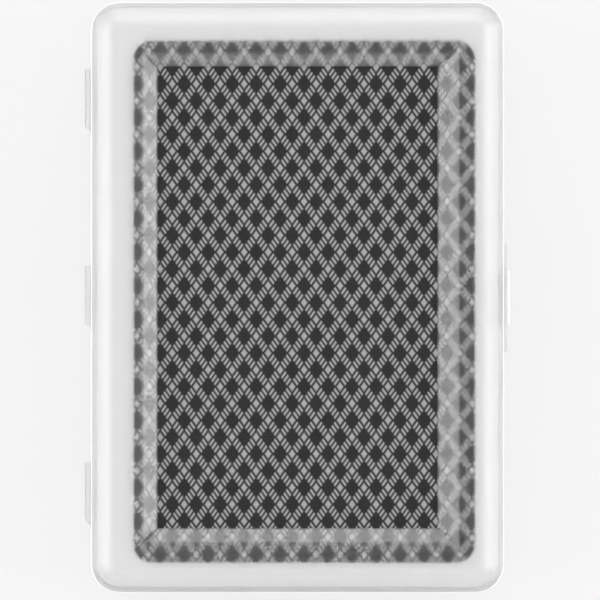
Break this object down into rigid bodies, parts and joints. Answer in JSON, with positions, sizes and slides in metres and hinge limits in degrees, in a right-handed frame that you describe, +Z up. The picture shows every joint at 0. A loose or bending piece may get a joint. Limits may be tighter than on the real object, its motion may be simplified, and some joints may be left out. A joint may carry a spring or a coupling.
{
  "type": "playing card case",
  "caption": "Hinged, frosted flip case for playing cards, with a sunk window panel in the lid, living-hinge straps, a thumb latch and the deck inside.",
  "frame": {"origin": "centre of the tray's underside, on the surface that the case rests on", "axes": "+Z up through the lid, +Y along the case's long side, +X from the hinge side to the latch side"},
  "size_m": [0.0708, 0.0982, 0.02],
  "materials": {
    "frosted_polypropylene": "frosted, translucent",
    "card_stock": "coated, semi-matt",
    "printed_card_back": "coated, semi-matt print"
  },
  "bodies": {
    "tray": {"base_tray": "frosted_polypropylene", "back_hinge_strap": "frosted_polypropylene", "front_hinge_strap": "frosted_polypropylene", "middle_hinge_strap": "frosted_polypropylene", "card_ace_of_clubs": "card_stock", "card_ace_of_diamonds": "card_stock", "card_ace_of_hearts": "card_stock", "card_ace_of_spades": "card_stock", "card_black_joker": "printed_card_back", "card_eight_of_clubs": "card_stock", "card_eight_of_diamonds": "card_stock", "card_eight_of_hearts": "card_stock", "card_eight_of_spades": "card_stock", "card_five_of_clubs": "card_stock", "card_five_of_diamonds": "card_stock", "card_five_of_hearts": "card_stock", "card_five_of_spades": "card_stock", "card_four_of_clubs": "card_stock", "card_four_of_diamonds": "card_stock", "card_four_of_hearts": "card_stock", "card_four_of_spades": "card_stock", "card_jack_of_clubs": "card_stock", "card_jack_of_diamonds": "card_stock", "card_jack_of_hearts": "card_stock", "card_jack_of_spades": "card_stock", "card_king_of_clubs": "card_stock", "card_king_of_diamonds": "card_stock", "card_king_of_hearts": "card_stock", "card_king_of_spades": "card_stock", "card_nine_of_clubs": "card_stock", "card_nine_of_diamonds": "card_stock", "card_nine_of_hearts": "card_stock", "card_nine_of_spades": "card_stock", "card_queen_of_clubs": "card_stock", "card_queen_of_diamonds": "card_stock", "card_queen_of_hearts": "card_stock", "card_queen_of_spades": "card_stock", "card_red_joker": "card_stock", "card_seven_of_clubs": "card_stock", "card_seven_of_diamonds": "card_stock", "card_seven_of_hearts": "card_stock", "card_seven_of_spades": "card_stock", "card_six_of_clubs": "card_stock", "card_six_of_diamonds": "card_stock", "card_six_of_hearts": "card_stock", "card_six_of_spades": "card_stock", "card_ten_of_clubs": "card_stock", "card_ten_of_diamonds": "card_stock", "card_ten_of_hearts": "card_stock", "card_ten_of_spades": "card_stock", "card_three_of_clubs": "card_stock", "card_three_of_diamonds": "card_stock", "card_three_of_hearts": "card_stock", "card_three_of_spades": "card_stock", "card_two_of_clubs": "card_stock", "card_two_of_diamonds": "card_stock", "card_two_of_hearts": "card_stock", "card_two_of_spades": "card_stock"},
    "lid": {"lid": "frosted_polypropylene"},
    "latch": {"latch_tongue": "frosted_polypropylene"}
  },
  "joints": [
    {"name": "lid_hinge", "type": "hinge", "parent": "tray", "child": "lid", "pos_m": [-0.03535, 0, 0.012], "axis": [0, -1, 0], "range_deg": [0, 180], "deforming": ["back_hinge_strap", "front_hinge_strap", "middle_hinge_strap"]},
    {"name": "latch_flex", "type": "hinge", "parent": "lid", "child": "latch", "pos_m": [0.03479, 0, 0.0148], "axis": [0, -1, 0], "range_deg": [0, 12], "stiffness_Nm_per_rad": 0.05}
  ]
}
